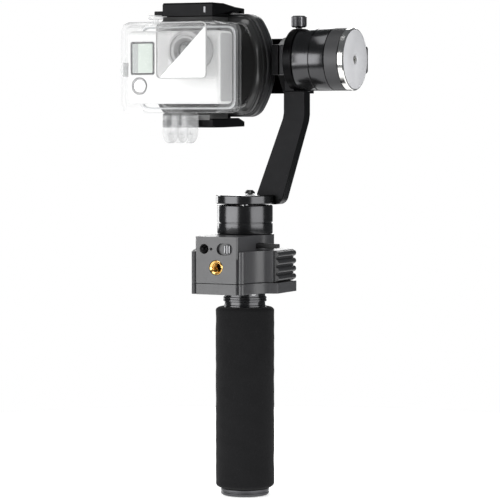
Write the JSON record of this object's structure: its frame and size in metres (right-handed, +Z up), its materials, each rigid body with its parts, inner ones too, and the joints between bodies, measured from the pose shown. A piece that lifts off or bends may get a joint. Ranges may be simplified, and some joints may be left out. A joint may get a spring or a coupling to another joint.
{
  "type": "gimbal stabilizer",
  "caption": "Handheld three-axis motorised camera stabilizer: foam grip, control box, cranked arm, tilt and roll motors, and a sprung holder clamping an action camera in a clear case.",
  "frame": {"origin": "centre of the tail cap's flat underside, on the handle's axis", "axes": "+Z up the handle, -Y the way the camera looks, +X towards the tilt motor"},
  "size_m": [0.1336, 0.098, 0.2805],
  "materials": {
    "foam": "matte closed-cell foam",
    "black_anodised": "satin black anodised",
    "housing_plastic": "fine satin texture",
    "rubber": "matte",
    "grey_metal": "satin dark grey",
    "silver_aluminium": "satin face, turned rim",
    "brass": "machined",
    "steel": "ground",
    "copper_windings": "enamelled wire",
    "circuit_board": "solder mask",
    "cell_wrap": "shrink wrap",
    "clear_plastic": "clear moulded",
    "pale_plastic": "pale satin",
    "gloss_black": "gloss"
  },
  "bodies": {
    "handle": {"handle_tube": "black_anodised", "foam_grip": "foam", "neck_ring": "black_anodised", "battery_cell": "cell_wrap", "battery_spring": "steel", "battery_contact": "brass", "control_box": "housing_plastic", "box_cover": "housing_plastic", "side_grip_right": "rubber", "side_grip_left": "rubber", "tripod_insert": "brass", "status_led": "gloss_black", "control_board": "circuit_board", "yaw_motor_case": "black_anodised", "yaw_windings": "copper_windings"},
    "tail_cap": {"tail_cap": "grey_metal"},
    "mode_button": {"mode_button": "gloss_black"},
    "power_slider": {"power_slider": "grey_metal"},
    "port_plug": {"port_plug": "rubber"},
    "yaw": {"yaw_cap": "black_anodised", "yaw_shaft": "steel", "yaw_arm": "black_anodised", "arm_screw": "black_anodised", "arm_head": "black_anodised", "tilt_motor_case": "black_anodised", "tilt_band": "grey_metal", "tilt_windings": "copper_windings", "tilt_end_cap": "silver_aluminium", "end_screw": "steel", "stop_plate": "black_anodised"},
    "thumb_knob": {"thumb_knob": "black_anodised"},
    "tilt": {"tilt_shaft": "steel", "tilt_rotor": "grey_metal", "coupling_block": "black_anodised", "tilt_bracket": "black_anodised", "roll_motor_case": "black_anodised", "roll_windings": "copper_windings"},
    "roll": {"pod_shell": "housing_plastic", "pod_bezel": "gloss_black", "motion_sensor": "circuit_board", "rest_pad": "rubber", "roll_hub": "black_anodised", "roll_shaft": "steel"},
    "top_jaw": {"top_jaw": "black_anodised", "top_jaw_pad": "rubber"},
    "lower_jaw": {"lower_jaw": "black_anodised", "lower_jaw_pad": "rubber"},
    "camera": {"case_front": "clear_plastic", "case_door": "clear_plastic", "port_glass": "clear_plastic", "camera_body": "pale_plastic", "camera_lens": "gloss_black", "camera_screen": "gloss_black", "camera_button": "silver_aluminium"},
    "shutter_button": {"shutter_button": "clear_plastic"}
  },
  "joints": [
    {"name": "tail_cap_turn", "type": "hinge", "parent": "handle", "child": "tail_cap", "pos_m": [0, 0, 0], "axis": [0, 0, 1], "continuous": true},
    {"name": "mode_button_press", "type": "slide", "parent": "handle", "child": "mode_button", "axis": [0, 1, 0], "range_m": [0, 0.0008], "stiffness_N_per_m": 400},
    {"name": "power_slider_move", "type": "slide", "parent": "handle", "child": "power_slider", "axis": [-1, 0, 0], "range_m": [0, 0.0036]},
    {"name": "port_plug_pull", "type": "slide", "parent": "handle", "child": "port_plug", "axis": [1, 0, 0], "range_m": [0, 0.0065]},
    {"name": "yaw_turn", "type": "hinge", "parent": "handle", "child": "yaw", "pos_m": [0, 0, 0.1664], "axis": [0, 0, 1], "range_deg": [-160, 160]},
    {"name": "thumb_knob_turn", "type": "hinge", "parent": "yaw", "child": "thumb_knob", "pos_m": [0.03005, 0.008, 0.262], "axis": [0, 0, 1], "continuous": true},
    {"name": "tilt_turn", "type": "hinge", "parent": "yaw", "child": "tilt", "pos_m": [0.0275, 0.008, 0.248], "axis": [1, 0, 0], "range_deg": [-45, 70]},
    {"name": "roll_turn", "type": "hinge", "parent": "tilt", "child": "roll", "pos_m": [-0.03, 0.025, 0.2452], "axis": [0, 1, 0], "range_deg": [-30, 30]},
    {"name": "top_jaw_lift", "type": "slide", "parent": "roll", "child": "top_jaw", "axis": [0, 0, 1], "range_m": [0, 0.01], "stiffness_N_per_m": 400, "springref_m": -0.006},
    {"name": "lower_jaw_drop", "type": "slide", "parent": "roll", "child": "lower_jaw", "axis": [0, 0, -1], "range_m": [0, 0.01], "stiffness_N_per_m": 400, "springref_m": -0.006},
    {"name": "camera_draw", "type": "slide", "parent": "roll", "child": "camera", "axis": [0, -1, 0], "range_m": [0, 0.012]},
    {"name": "shutter_press", "type": "slide", "parent": "camera", "child": "shutter_button", "axis": [0, 0, -1], "range_m": [0, 0.0015], "stiffness_N_per_m": 500, "springref_m": -0.001}
  ],
  "couplings": [
    {"joint": "lower_jaw_drop", "follows": "top_jaw_lift", "ratio": 1}
  ]
}
